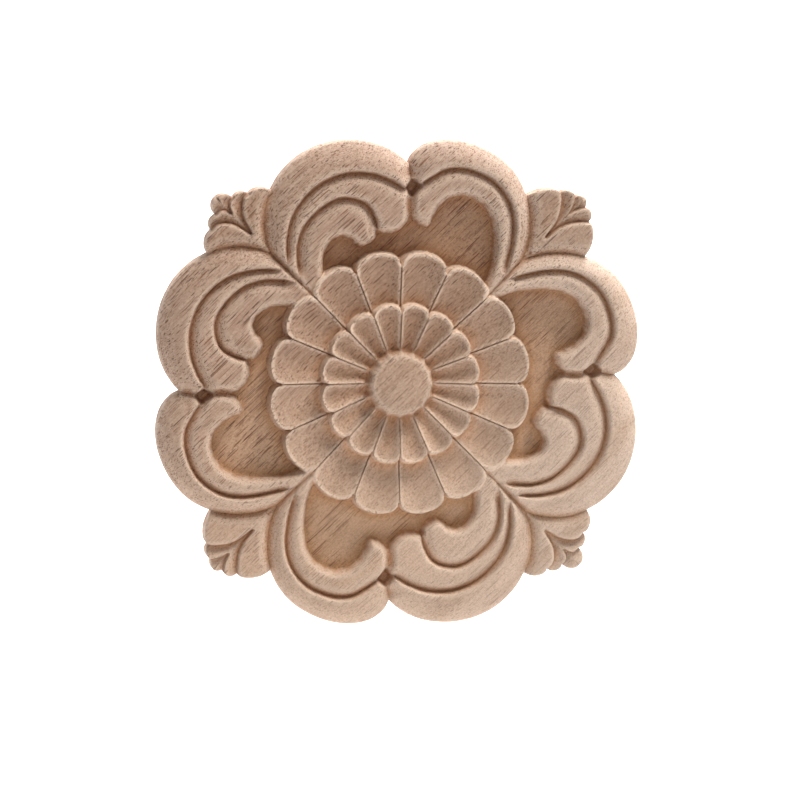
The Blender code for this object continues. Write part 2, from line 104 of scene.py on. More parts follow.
# Points in mm that each carved line passes through: lobe A is left of the middle, lobe B right of it
KNOTS = {
    "valley_a": (SEAM_A, (-55.5, 59.0), (-56.4, 66.0), (-55.8, 73.0), NOTCH_A),
    "rim_a": (
        *(NOTCH_A, (-50.3, 84.8), (-46.0, 89.8), (-40.5, 94.2), (-33.0, 97.8), (-25.0, 99.6)),
        *((-18.0, 99.8), (-10.5, 98.6), (-4.0, 96.0), (1.0, 92.6), NOTCH),
    ),
    "ends": (NOTCH, (3.5, 87.5), (4.1, 84.6), MEET),
    "foot_a1": (
        *(ROOT_A1, (-46.7, 52.0), (-46.6, 60.0), (-44.3, 69.3), (-39.0, 77.2), (-31.5, 83.1)),
        *((-22.0, 86.3), (-12.5, 86.1), (-4.5, 83.4), (1.6, 80.0), MEET),
    ),
    "foot_a2": (
        *(ROOT_A2, (-42.2, 48.5), (-42.3, 56.5), (-39.8, 64.3), (-33.8, 71.3), (-26.8, 75.6)),
        *((-20.5, 76.0), (-14.6, 73.5), (-11.2, 68.2), CURL_START),
    ),
    "balls": (MEET, (3.9, 77.6), (3.5, 74.0), (3.7, 71.0), BALLS_END),
    "ball_a": (BALLS_END, (3.2, 66.3), (0.4, 63.2), (-3.2, 61.6), (-6.8, 61.5), CURL_START),
    "curl": (
        *(CURL_START, (-9.8, 60.0), (-12.2, 57.5), (-15.8, 56.0), (-18.6, 57.0), (-21.2, 59.2)),
        *((-24.2, 60.0), (-27.4, 58.7), (-29.9, 55.4), (-31.2, 50.8), (-31.0, 44.0), (-30.0, 40.0)),
    ),
    "rim_b": (
        *(NOTCH, (5.3, 94.2), (9.8, 97.8), (15.3, 99.6), (21.0, 100.0), (27.5, 99.1)),
        *((34.0, 96.9), (40.0, 93.7), (44.8, 89.9), (48.6, 85.4), (51.0, 80.9), NOTCH_B),
    ),
    "valley_b": (SEAM_B, (52.3, 55.0), (53.6, 60.5), (54.0, 66.5), (53.6, 72.0), NOTCH_B),
    "foot_b1": (
        *(MEET, (7.2, 81.3), (12.8, 84.8), (18.5, 87.8), (24.5, 88.4), (31.2, 86.8), (37.5, 83.6)),
        *((42.2, 78.8), (45.4, 72.8), (46.7, 65.5), (46.0, 57.5), (44.2, 49.7), ROOT_B1),
    ),
    "ball_b": (
        *(BALLS_END, (5.6, 66.8), (8.2, 64.9), (11.0, 64.2), (12.9, 65.5), (14.0, 68.5)),
        *((16.6, 72.7), (20.5, 75.9), (25.2, 77.0), (30.0, 75.9), (34.4, 72.7), (37.2, 68.0)),
        *((38.3, 62.0), (38.3, 55.5), (37.2, 48.3), (34.6, 41.2), (32.6, 37.0)),
    ),
    "big_a": (NOTCH_A, (-55.3, 80.2), (-57.8, 80.4), (-60.6, 79.7), (-62.9, 77.9)),
    "small_a": ((-62.9, 77.9), (-64.2, 78.6), (-66.0, 78.6), (-67.8, 77.8), (-69.2, 76.2)),
    "bud_a": ((-69.2, 76.2), (-71.0, 77.4), (-73.2, 77.7), (-75.2, 77.1), BUD_A),
    "leaf_a1": ((-62.9, 77.9), (-65.2, 76.0), (-66.0, 72.5), (-65.2, 68.0), (-61.8, 61.8)),
    "leaf_a2": ((-69.2, 76.2), (-70.8, 74.4), (-71.0, 72.4), (-69.8, 69.8)),
    "big_b": (NOTCH_B, (55.0, 78.7), (58.2, 79.9), (61.8, 80.3), (64.8, 79.9), (66.6, 78.8)),
    "small_b": ((66.6, 78.8), (68.2, 79.6), (70.2, 79.5), (71.8, 78.6), (72.6, 77.2)),
    "bud_b": ((72.6, 77.2), (74.2, 77.5), (75.8, 77.2), BUD_B),
    "leaf_b1": ((66.6, 78.8), (66.9, 75.5), (66.4, 70.5), (64.6, 66.0), (60.6, 60.6)),
    "leaf_b2": ((72.6, 77.2), (72.2, 74.5), (71.4, 72.2), (70.2, 70.2)),
}
OUTLINE = ("bud_a", "small_a", "big_a", "rim_a", "rim_b", "big_b", "small_b", "bud_b")

# Scales that draw the areas slightly over the outline and read the relief just inside the diagonals
OVERLAP = 1.001
INWARD = 0.9998

# Mesh, in mm: spacing of the lines that heights are read from and of the mesh, and where points merge
READ_STEP = 0.8
STEP = 0.72
SNAP = 0.3
CLEAR_OF_EDGE, CLEAR_OF_ROSETTE = 0.2, 0.8
DIAGONAL_END, GRID_SIDE, GRID_TOP = 74, 80, 104
OPEN_SPACING = 0.66

# The side on which each line's wall rises
RISES = {
    **dict.fromkeys(("foot_a1", "foot_a2", "foot_b1", "ball_b", "leaf_a1", "leaf_a2"), 1),
    **dict.fromkeys(("ball_a", "curl", "leaf_b1", "leaf_b2"), -1),
}

# How far off a line its own rows of points lie, in mm
WALL_ROWS = (-0.5, 0.35, 0.8, 1.3)
SEAM_ROWS = (-1.2, -0.6, 0.6, 1.2)
EDGE_ROWS = (-0.3, -0.7, -1.2)
PETAL_ROWS = (0.35, 0.8, 1.4, -0.5)
BOSS_ROWS = (0, 0.6, 1.2, 1.9)
GROOVE_ROWS = (-0.32, 0.32, -0.7, 0.7)

# The quarter as drawn, mirrored about each diagonal and turned half round: new x and z from the old ones
QUARTERS = ((1, 0, 0, 1), (0, -1, -1, 0), (0, 1, 1, 0), (-1, 0, 0, -1))

# Rows down the side: how far in, in mm, the share of the edge's height, and the rest of the height in mm
SIDE_ROWS = ((0, 0.75, 0), (0, 0.5, 0), (0, 0.25, 0), (0, 0, 0.5), (0.12, 0, 0.15), (0.3, 0, 0))

# Marks for the wood's colour, in mm: painted shade in the creases with its reach and strength, the ground,
# and the pale rims and ridges, which are painted highlights
GROOVE_SHADE_REACH = 0.42
LINE_SHADES = (
    (("leaf_a1", "leaf_a2", "leaf_b1", "leaf_b2"), 0.55, 1.0),
    (("foot_a1", "foot_a2", "foot_b1"), 0.7, 0.8),
    (("valley_a", "valley_b"), 0.7, 0.6),
)
GROUND_WITHIN, GROUND_TOP, GROUND_FADE = 88, 10.5, 4.0
POCKET_CLEAR, POCKET_FADE = 4, 3
RIDGE, RIDGE_HALF = 0.8, 0.45
PALE_WIDTH, PALE_FADE, PALE_OVER = 1.9, 0.6, 0.15

# Painted highlights on the crests and painted shade in the hollows: rounds of smoothing that give the
# surface around, and the height in mm for a full mark
NEAR_ROUNDS, FAR_ROUNDS = 4, 60
CREST_HIGHLIGHT_FULL, HOLLOW_SHADE_FULL = 0.12, 1.6

# Hand work, in mm: a long sway sideways and up, a shorter wave up, and where the sway fades to the outline
SWAY_LENGTH, SWAY_SHIFTS = 34, (0, 500, 900)
SWAY_ASIDE, SWAY_UP = 0.35, 0.16
WAVE_LENGTH, WAVE_UP = 9, 0.07
STILL_FROM, STILL_RUN = 98.5, 25
SHARP_ANGLE = math.radians(55)

# Grain: its direction on the front, its lean out of the front, and how far it bends, in m
GRAIN_ANGLE = math.radians(44)
GRAIN_LEAN = math.radians(2.0)
GRAIN_BEND = 0.004

# Vessels: how far apart and how wide in mm, how often they break off, and a shift of their own
LARGE_VESSELS = (0.95, 0.29, 220, 0.031)
SMALL_VESSELS = (0.5, 0.19, 300, 0.087)
LONG_VESSELS = (1.3, 0.34, 100, 0.053)

# Colours in linear light: the wood with its grain and vessels, painted highlights on the rims and crests,
# and painted shade in the creases
UPPER_LEFT, LOWER_RIGHT = (0.445, 0.28, 0.203, 1), (0.69, 0.465, 0.323, 1)
PATCH, BAND = (0.54, 0.385, 0.285, 1), (0.40, 0.24, 0.15, 1)
FIBRE, DUST = (0.70, 0.51, 0.38, 1), (0.33, 0.20, 0.13, 1)
# Painted highlights on the petal rims and on the crests
RIM_HIGHLIGHT, CREST_HIGHLIGHT = (0.95, 0.72, 0.55, 1), (0.76, 0.60, 0.47, 1)
LONG_STREAK, DOT = (0.16, 0.06, 0.03, 1), (0.15, 0.07, 0.04, 1)
BROWN_VESSEL, RED_VESSEL = (0.10, 0.045, 0.028, 1), (0.22, 0.09, 0.045, 1)
# Painted shade in the creases
CREASE_SHADE = (0.17, 0.085, 0.05, 1)

# Tints that multiply the colour of the wood; those for the upper grounds, the upper ornament and the hollows
# are painted shade
CREAM_TINT = (1.03, 1.19, 1.37, 1)
GROUND_TINT, UPPER_GROUND_SHADE = (1.12, 1.07, 0.97, 1), (0.80, 0.72, 0.66, 1)
UPPER_ORNAMENT_SHADE = (0.84, 0.78, 0.72, 1)
HOLLOW_SHADE_TINT, GROUND_HOLLOW_SHADE_TINT = (1.0, 0.85, 0.71, 1), (0.82, 0.73, 0.62, 1)

# Where the painted shade on the upper ornament fades, in m: round the rosette, beside the leaves and towards
# the back
ROSETTE_FADE, LEAF_FADE, BACK_FADE = (0.053, 0.056), (0.054, 0.058), (-0.006, -0.002)

# Studio: each light's place and size in m, power in W and colour
LIGHTS = {
    "key": ((0.94, -0.67, 2.33), 1.3, 77.0, (1, 0.985, 0.96)),
    "back": ((0.95, 0.68, 2.3), 1.5, 110.0, (0.92, 0.95, 1)),
    "front": ((0.1, -2.6, 0.1), 1.2, 14.0, (1, 0.98, 0.95)),
    "low": ((0.2, -1.6, -2.05), 1.3, 26.0, (1, 0.98, 0.95)),
    "left": ((-2.45, 0.62, 0.4), 1.5, 26.0, (0.85, 0.92, 1)),
    "right": ((2.5, -0.1, 0.3), 1.5, 11.0, (1, 1, 1)),
}
WORLD_COLOR, WORLD_STRENGTH = (1, 0.985, 0.97, 1), 0.05
SHEET_HALF = 5

# Camera: its place and the point it looks at in m, the width of the view there in m, and its roll
CAMERA = Vector((-0.2356, -1.6763, 0.1570))
AIM = Vector((0.0003, -0.0100, -0.0069))
VIEW_WIDTH = 0.3293
ROLL = math.radians(0.55)
SENSOR = 36


def smooth(knots, step):
    """Points about step apart on the smooth curve through the knots."""
    k = np.array(knots, float)
    k = np.vstack([2 * k[0] - k[1], k, 2 * k[-1] - k[-2]])
    t = np.linspace(0, 1, 24, endpoint=False)[:, None]
    runs = [
        b + 0.5 * ((c - a) * t + (2 * a - 5 * b + 4 * c - d) * t**2 + (3 * b - a - 3 * c + d) * t**3)
        for a, b, c, d in zip(k, k[1:], k[2:], k[3:])
    ]
    curve = np.vstack([*runs, k[-2:-1]])
    along = np.concatenate([[0], np.cumsum(np.hypot(*np.diff(curve, axis=0).T))])
    stops = np.linspace(0, along[-1], max(1, round(along[-1] / step)) + 1)
    return np.column_stack([np.interp(stops, along, curve[:, i]) for i in (0, 1)])


LINES = {name: smooth(knots, READ_STEP) for name, knots in KNOTS.items()}


def away(points, line):
    """Distance of each point from a line of points."""
    start, run = line[:-1], np.diff(line, axis=0)
    square = np.maximum((run * run).sum(axis=1), 1e-12)
    found = np.empty(len(points))
    for first in range(0, len(points), 4000):
        some = points[first : first + 4000, None] - start
        part = np.clip((some * run).sum(axis=2) / square, 0, 1)
        gap = some - part[..., None] * run
        found[first : first + 4000] = np.sqrt((gap * gap).sum(axis=2).min(axis=1))
    return found


def inside(points, outline):
    x, z = points.T
    hit = np.zeros(len(points), bool)
    for (x0, z0), (x1, z1) in zip(outline, np.roll(outline, -1, axis=0)):
        if z0 != z1:
            hit ^= ((z0 > z) != (z1 > z)) & (x < x0 + (z - z0) * (x1 - x0) / (z1 - z0))
    return hit


def arch(t, power=2.0):
    """Rises steeply from 0 and levels off at 1."""
    return 1 - (1 - np.clip(t, 0, 1)) ** power


def ease(t):
    t = np.clip(t, 0, 1)
    return t * t * (3 - 2 * t)


def lower(a, b, rounding):
    """The lower of two surfaces, with the crest between them rounded over."""
    blend = np.maximum(rounding - abs(a - b), 0) / rounding
    return np.minimum(a, b) - blend * blend * rounding / 4


def valley(points):
    """Height of the seams between lobes, which rise towards the rosette."""
    rho = np.hypot(*points.T)
    return VALLEY + (ROOT_VALLEY - VALLEY) * ease((VALLEY_START - rho) / VALLEY_RUN)


def lap_foot(points, root, crest):
    """Height at which a band comes out from under its neighbour: the step dies away at the root."""
    return crest - LAP * ease((np.hypot(*(points - root).T) - ROOT_CLEAR) / ROOT_RUN)


def outer_band(points, edge, foot, root):
    from_edge, from_foot = away(points, edge), away(points, LINES[foot])
    low = valley(points)
    swell = low + (OUTER_CREST - low) * arch(from_edge / (from_edge + from_foot + 1e-9))
    return lower(swell, lap_foot(points, root, MIDDLE_CREST) + LAP_WALL * from_foot, LAP_ROUND)


def lapped_band(points, foot, root, edge, crest, width):
    """A band that starts low beside its outer neighbour and swells to its own crest."""
    from_foot, from_edge = away(points, LINES[foot]), away(points, edge)
    low = lap_foot(points, root, crest)
    return low + (crest - low) * arch(from_foot / np.minimum(width, from_foot + from_edge + 1e-9), 2.4)


def ground_wall(points, foot):
    """A wall that rises steeply from the ground and rounds over like a cushion."""
    return GROUND + (OUTER_CREST - GROUND) * arch(away(points, LINES[foot]) / GROUND_RUN, GROUND_STEEP)


def balls_valley(points):
    """The valley with a rounded bottom between the curled ends of two lobes."""
    from_middle = np.hypot(away(points, LINES["balls"]), BALL_ROUND) - BALL_ROUND
    return BALL_VALLEY + (OUTER_CREST + BALL_RISE - BALL_VALLEY) * arch(from_middle / BALL_RUN)


def middle_a(points):
    edge = np.vstack([LINES["foot_a2"], LINES["ball_a"][::-1]])
    swell = lapped_band(points, "foot_a1", ROOT_A1, edge, MIDDLE_CREST, MIDDLE_WIDTH)
    step = lap_foot(points, ROOT_A2, INNER_CREST) + LAP_WALL * away(points, LINES["foot_a2"])
    height = lower(lower(swell, step, LAP_ROUND), balls_valley(points), LEAF_ROUND)
    return lower(height, ground_wall(points, "ball_a"), GROUND_ROUND)


def inner_a(points):
    swell = lapped_band(points, "foot_a2", ROOT_A2, LINES["curl"], INNER_CREST, MIDDLE_WIDTH)
    return lower(swell, ground_wall(points, "curl"), GROUND_ROUND)


def inner_b(points):
    swell = lapped_band(points, "foot_b1", ROOT_B1, LINES["ball_b"], MIDDLE_CREST, INNER_WIDTH)
    swell = lower(swell, balls_valley(points), LEAF_ROUND)
    return lower(swell, ground_wall(points, "ball_b"), GROUND_ROUND)


def big_leaflet(points, side):
    low = valley(points)
    face = low + (LEAF - low) * arch(away(points, LINES["valley_" + side]) / BIG_RUN)
    return lower(face, LEAF_FOOT + LEAF_WALL * away(points, LINES[f"leaf_{side}1"]), LEAF_ROUND)


def small_leaflet(points, side):
    face = LEAF_FOOT + (LEAFLET - LEAF_FOOT) * arch(away(points, LINES[f"leaf_{side}1"]) / SMALL_RUN, 1.6)
    return lower(face, LEAF_FOOT + LEAF_WALL * away(points, LINES[f"leaf_{side}2"]), LEAF_ROUND)


def bud(points, side):
    return LEAF_FOOT + (BUD - LEAF_FOOT) * arch(away(points, LINES[f"leaf_{side}2"]) / BUD_RUN, 1.5)


def areas():
    """Each carved area of the quarter, drawn slightly over the outline, with the function for its height."""
    line = LINES | {name: LINES[name] * OVERLAP for name in OUTLINE}
    edge_a = np.vstack([[ROOT_A1], line["valley_a"], line["rim_a"], line["ends"]])
    edge_b = np.vstack([[ROOT_B1], line["valley_b"], line["rim_b"][::-1], line["ends"]])
    found = [
        (np.vstack([edge_a, line["foot_a1"][::-1]]), lambda p: outer_band(p, edge_a, "foot_a1", ROOT_A1)),
        (np.vstack([edge_b, line["foot_b1"]]), lambda p: outer_band(p, edge_b, "foot_b1", ROOT_B1)),
        (np.vstack([line["foot_a1"], line["balls"], line["ball_a"], line["foot_a2"][::-1]]), middle_a),
        (np.vstack([line["foot_a2"], line["curl"], [(-20, 20)]]), inner_a),
        (np.vstack([line["foot_b1"], [(20, 20)], line["ball_b"][::-1], line["balls"][::-1]]), inner_b),
    ]
    for side in "ab":
        first, second = line[f"leaf_{side}1"], line[f"leaf_{side}2"]
        big = np.vstack([line["valley_" + side], line["big_" + side], first])
        small = np.vstack([first[::-1], line["small_" + side], second])
        tip = np.vstack([second[::-1], line["bud_" + side]])
        found += [
            (big, lambda p, side=side: big_leaflet(p, side)),
            (small, lambda p, side=side: small_leaflet(p, side)),
            (tip, lambda p, side=side: bud(p, side)),
        ]
    return found


AREAS = areas()


def seam_cut(points):
    """The valley along each diagonal, between the roots of two lobes."""
    x, z = points.T
    gap = np.minimum(abs(x + z), abs(x - z)) / math.sqrt(2)
    low = valley(points)
    cut = low + (OUTER_CREST + 0.2 - low) * arch(gap / SEAM_WIDTH)
    return np.where((np.hypot(x, z) < SEAM_REACH) & (gap < SEAM_WIDTH), cut, BOSS_TOP)


def pocket_cut(points):
    core = np.array([*POCKET_CORE, POCKET_CORE[0]])
    return POCKET + POCKET_WALL * np.where(inside(points, core), 0, away(points, core))


def surround(points):
    """Height of the lobes, the leaves and the ground, as if there were no rosette."""
    height = np.full(len(points), GROUND)
    for outline, carve in AREAS:
        here = inside(points, outline)
        if here.any():
            height[here] = np.minimum(carve(points[here]), np.maximum(seam_cut(points[here]), GROUND))
    return lower(height, pocket_cut(points), GROUND_ROUND)


def bulge(turn):
    """0 at a notch between two petals, 1 at the middle of a petal; turn counts petals."""
    across = 2 * (turn - np.floor(turn)) - 1
    return np.sqrt(np.maximum(1 - across * across, 0))


def scallops(notch, tip, step, spare=0.0):
    """The scalloped edge of a row of petals over the quarter."""
    count = 2 * math.ceil((2 * tip - notch) / PETALS * 2.2 / step)
    across = (1 - np.cos(np.linspace(0, np.pi, count + 1))) / 2
    turns = np.unique(np.concatenate([first + across for first in range(2, 6)] + [[2 - spare, 6 + spare]]))
    theta = turns * 2 * np.pi / PETALS
    radius = notch + (tip - notch) * bulge(turns)
    return np.column_stack([radius * np.cos(theta), radius * np.sin(theta)])


def from_scallops(points, notch, tip):
    """How far inside a scalloped edge each point is, counted up to PETAL_REACH."""
    gap = np.full(len(points), PETAL_REACH)
    near = np.hypot(*points.T) > notch - PETAL_REACH
    gap[near] = away(points[near], scallops(notch, tip, 0.4, 0.3))
    return gap


def worn(gap):
    """How far the rim of a petal is rounded down toward its edge."""
    return RIM_FALL * np.clip(1 - gap / RIM_RUN, 0, 1) ** 1.6


def off_grooves(points):
    """How far each point is from the nearest groove between two petals."""
    x, z = points.T
    turn = np.arctan2(z, x) * PETALS / (2 * np.pi)
    return np.hypot(x, z) * abs(np.sin((turn - np.round(turn)) * 2 * np.pi / PETALS))


def groove(points):
    """Depth of the fine V cut between the petals."""
    rho = np.hypot(*points.T)
    depth = GROOVE_DEPTH * np.maximum(1 - off_grooves(points) / GROOVE_HALF, 0)
    return depth * np.clip((rho - BOSS_RADIUS) / 2, 0, 1) * (rho < OUTER_NOTCH + 0.1)


def rosette(points, around):
    """The boss and both rows of dished petals, over the surface around them."""
    x, z = points.T
    rho = np.hypot(x, z)
    round_out = bulge(np.arctan2(z, x) * PETALS / (2 * np.pi))
    outer = OUTER_NOTCH + (OUTER_TIP - OUTER_NOTCH) * round_out
    inner = INNER_NOTCH + (INNER_TIP - INNER_NOTCH) * round_out
    lip = LIP_FALL * np.maximum(1 - off_grooves(points) / LIP_WIDTH, 0) ** 2

    t = np.clip((rho - inner) / (outer - inner), 0, 1)
    gap = from_scallops(points, OUTER_NOTCH, OUTER_TIP)
    petal = RIM_ROOT + (RIM - RIM_ROOT) * t**1.3 - RIM_SCOOP * round_out**2 * arch(gap / RIM_DISH) - lip
    petal = lower(petal - worn(gap), around + PETAL_WALL * gap, PETAL_ROUND)

    t = np.clip((rho - BOSS_RADIUS) / (inner - BOSS_RADIUS), 0, 1)
    gap = from_scallops(points, INNER_NOTCH, INNER_TIP)
    row = ROW_ROOT + (ROW - ROW_ROOT) * t - ROW_SCOOP * round_out**2 * arch(gap / ROW_DISH) - lip
    foot = RIM_ROOT - RIM_SCOOP * round_out**2
    row = lower(row - worn(gap), foot + ROW_WALL * gap, PETAL_ROUND)

    boss = BOSS_TOP - BOSS_FALL * (rho / BOSS_RADIUS) ** 2
    foot = ROW_ROOT - ROW_SCOOP * round_out**2
    boss = lower(boss, foot + BOSS_WALL * (BOSS_RADIUS - rho), BOSS_ROUND)
    return np.select([rho < BOSS_RADIUS, rho < inner, rho < outer], [boss, row, petal], around)


def folded(points):
    """The points brought back over the diagonals into the quarter."""
    x, z = points.T
    right, left = x > z, -x > z
    across = np.where(right, z, np.where(left, -z, x))
    up = np.where(right, x, np.where(left, -x, z))
    return np.column_stack([across, up])


def relief(points):
    """Height of the carving above the back, in mm, read just inside the diagonals of the quarter."""
    points = folded(points) * (INWARD, 1)
    return rosette(points, surround(points))


def sanded(points):
    """The relief with its sharpest corners worn by sanding, and its outer edge rounded over."""
    edge = np.vstack([LINES[name][::-1] for name in OUTLINE[:3]] + [LINES[name] for name in OUTLINE[3:]])
    outline = np.vstack([[(0, 0)], edge])
    centre = relief(points)
    total = 2 * centre
    for turn in np.arange(6) * math.pi / 3:
        moved = folded(points + SETTLE * np.array([math.cos(turn), math.sin(turn)]))
        total += np.where(inside(moved, outline), relief(moved), centre)
    near = 1 - np.clip(away(points, edge) / EDGE_ROUND, 0, 1)
    return total / 8 - EDGE_ROUND * (1 - np.sqrt(1 - near * near)) * EDGE_FALL - groove(points)


def crease_shading(points):
    """Painted shade: 1 in the bottom of each fine cut and at the foot of each step, fading to 0 beside it.
    """
    rho = np.hypot(*points.T)
    found = np.where((rho > BOSS_RADIUS) & (rho < OUTER_NOTCH), 1 - off_grooves(points) / GROOVE_SHADE_REACH, 0)
    for names, reach, amount in LINE_SHADES:
        for name in names:
            near = amount * (1 - away(points, LINES[name]) / reach)
            found = np.maximum(found, np.where(rho > OUTER_TIP, near, 0))
    return np.clip(found, 0, 1)


def low_ground(points, heights):
    """1 on the sunken ground inside the lobes, fading to 0 up its walls."""
    beyond_pocket = np.clip((np.hypot(*(points - MEET).T) - POCKET_CLEAR) / POCKET_FADE, 0, 1)
    low = np.clip((GROUND_TOP - heights) / GROUND_FADE, 0, 1)
    return np.where(np.hypot(*points.T) < GROUND_WITHIN, low, 0) * beyond_pocket


def rim_highlights(points):
    """Painted highlight: 1 on the rounded rim of each petal, 0.5 on the ridges along the cuts, and 0
    elsewhere.
    """
    x, z = points.T
    rho = np.hypot(x, z)
    round_out = bulge(np.arctan2(z, x) * PETALS / (2 * np.pi))
    ridge = np.clip(1 - abs(off_grooves(points) - RIDGE) / RIDGE_HALF, 0, 1)
    found = 0.5 * ridge * (rho > BOSS_RADIUS + 1) * (rho < OUTER_NOTCH)
    for notch, tip, least in ((OUTER_NOTCH, OUTER_TIP, INNER_TIP), (INNER_NOTCH, INNER_TIP, BOSS_RADIUS)):
        on_row = (rho > least) & (rho < notch + (tip - notch) * round_out + PALE_OVER)
        highlight = np.clip((PALE_WIDTH - from_scallops(points, notch, tip)) / PALE_FADE, 0, 1)
        found = np.maximum(found, on_row * highlight)
    return found


def beside(line, offset):
    """The line moved sideways, to the left of its run, and which of its points stay clear of the line."""
    run = np.diff(line, axis=0)
    left = np.column_stack([-run[:, 1], run[:, 0]]) / np.hypot(*run.T)[:, None]
    before, after = np.vstack([left[:1], left]), np.vstack([left, left[-1:]])
    corner = before + after
    corner /= np.hypot(*corner.T)[:, None]
    mitre = np.minimum(1 / np.maximum((corner * after).sum(axis=1), 0.1), 1.2)
    moved = line + offset * mitre[:, None] * corner
    return moved, away(moved, line) > 0.95 * abs(offset)


class Plan:
    """The points and edges of the quarter, seen from the front, that the mesh has to follow."""

    def __init__(self, outline):
        self.outline = outline
        self.points = []
        self.cells = {}
        self.edges = set()

    def add_point(self, point):
        column, row = int(point[0] // SNAP), int(point[1] // SNAP)
        for cell in ((column + i, row + j) for i in (-1, 0, 1) for j in (-1, 0, 1)):
            for other in self.cells.get(cell, ()):
                if math.dist(self.points[other], point) < SNAP:
                    return other
        self.points.append((float(point[0]), float(point[1])))
        self.cells.setdefault((column, row), []).append(len(self.points) - 1)
        return len(self.points) - 1

    def within(self, points):
        x, z = points.T
        off_diagonals = (z - abs(x)) / math.sqrt(2) > SNAP
        return inside(points, self.outline) & off_diagonals & (away(points, self.outline) > CLEAR_OF_EDGE)

    def add_line(self, line, keep=None):
        """Adds a line, its ends first, broken where its points are not kept."""
        for end in (0, -1):
            if keep is None or keep[end]:
                self.add_point(line[end])
        before = None
        for at, point in enumerate(line):
            here = self.add_point(point) if keep is None or keep[at] else None
            if here is not None and before is not None and here != before:
                self.edges.add((min(before, here), max(before, here)))
            before = here

    def add_rows(self, line, offsets):
        """Adds loose points in rows beside a line, kept off every line that is there already."""
        for offset in offsets:
            moved, clear = beside(line, offset)
            for point in moved[clear & self.within(moved)]:
                self.add_point(point)

    def add_diagonals(self):
        """Closes the quarter along both diagonals, through every point that lies on them."""
        for side in (-1, 1):
            for along in np.arange(STEP, DIAGONAL_END, STEP):
                self.add_point((side * along, along))
            on = [i for i, (x, z) in enumerate(self.points) if abs(z - side * x) < 1e-6]
            on.sort(key=lambda i: self.points[i][1])
            self.edges |= {(min(pair), max(pair)) for pair in zip(on, on[1:])}

    def add_open_points(self):
        """Fills the room between the lines with points in rows."""
        grid = []
        for i, z in enumerate(np.arange(0, GRID_TOP, STEP * math.sqrt(3) / 2)):
            row = np.arange(-GRID_SIDE + STEP / 2 * (i % 2), GRID_SIDE, STEP)
            grid += [(x, z) for x in row if abs(x) < z]
        grid = np.array(grid)
        grid = grid[self.within(grid)]
        placed = kdtree.KDTree(len(self.points))
        for i, (x, z) in enumerate(self.points):
            placed.insert((x, z, 0), i)
        placed.balance()
        self.points += [(x, z) for x, z in grid if placed.find((x, z, 0))[2] > OPEN_SPACING * STEP]


def draw_quarter():
    """The plan of the quarter: its outline, the rosette, the carved lines and the points between them."""
    left = [smooth(KNOTS[name], STEP)[::-1] for name in OUTLINE[:3]]
    edge = np.vstack(left + [smooth(KNOTS[name], STEP) for name in OUTLINE[3:]])
    plan = Plan(np.vstack([[(0, 0)], edge, [(0, 0)]]))
    plan.add_line(edge)
    plan.add_point((0.0, 0.0))
    draw_rosette(plan)
    lines = {name: smooth(KNOTS[name], STEP) for name in KNOTS if name not in OUTLINE}
    for line in lines.values():
        plan.add_line(line, np.hypot(*line.T) > OUTER_NOTCH + CLEAR_OF_ROSETTE)
    plan.add_diagonals()
    plan.add_rows(edge, EDGE_ROWS)
    for name, line in lines.items():
        line = line[np.hypot(*line.T) > OUTER_NOTCH + CLEAR_OF_ROSETTE]
        plan.add_rows(line, [RISES[name] * row for row in WALL_ROWS] if name in RISES else SEAM_ROWS)
    plan.add_open_points()
    return plan


def draw_rosette(plan):
    """The scalloped edge of each row, the boss, and the groove on each side of a petal."""
    for notch, tip in ((OUTER_NOTCH, OUTER_TIP), (INNER_NOTCH, INNER_TIP)):
        edge = scallops(notch, tip, STEP)
        plan.add_line(edge)
        plan.add_rows(edge, PETAL_ROWS)
    for inset in BOSS_ROWS:
        radius = BOSS_RADIUS - inset
        count = round(radius * math.pi / 2 / STEP / 2) * 2
        theta = np.linspace(math.pi / 4, 3 * math.pi / 4, count + 1)
        plan.add_line(radius * np.column_stack([np.cos(theta), np.sin(theta)]))
    for petal in range(2, 7):
        theta = petal * 2 * math.pi / PETALS
        out = np.array([math.cos(theta), math.sin(theta)])
        for start, stop in ((BOSS_RADIUS, INNER_NOTCH), (INNER_NOTCH, OUTER_NOTCH)):
            line = np.linspace(start, stop, round((stop - start) / STEP) + 1)[:, None] * out
            plan.add_line(line)
            plan.add_rows(line, GROOVE_ROWS)


def carved_mesh():
    """The four quarters with the side and the back, in mm, with the marks for the wood's colour: painted
    shade in the creases, the ground and painted highlights on the rims.
    """
    plan = draw_quarter()
    found = delaunay_2d_cdt([Vector(point) for point in plan.points], sorted(plan.edges), [], 1, 1e-5)
    flat = np.array([tuple(point) for point in found[0]])
    heights = sanded(flat)
    marks = {"crease_shade": crease_shading(flat), "ground": low_ground(flat, heights), "rim_highlight": rim_highlights(flat)}
    mesh = bmesh.new()
    layers = {name: mesh.verts.layers.float.new(name) for name in marks}
    for xx, xz, zx, zz in QUARTERS:
        verts = [
            mesh.verts.new((xx * x + xz * z, -height, zx * x + zz * z))
            for (x, z), height in zip(flat, heights)
        ]
        for name, layer in layers.items():
            for vert, amount in zip(verts, marks[name]):
                vert[layer] = amount
        mirrored = xx * zz - xz * zx < 0
        for corners in found[2]:
            mesh.faces.new([verts[i] for i in (reversed(corners) if mirrored else corners)])
    bmesh.ops.remove_doubles(mesh, verts=mesh.verts, dist=0.02)
    add_side(mesh)
    return mesh


def rim_loop(mesh):
    """The vertices of the open edge, in order round the outline."""
    edges = {edge for edge in mesh.edges if edge.is_boundary}
    start = next(iter(sorted(edges, key=lambda edge: edge.index)))
    loop = [start.verts[0]]
    while edges:
        edge = next(edge for edge in loop[-1].link_edges if edge in edges)
        edges.discard(edge)
        loop.append(edge.other_vert(loop[-1]))
    return loop[:-1]


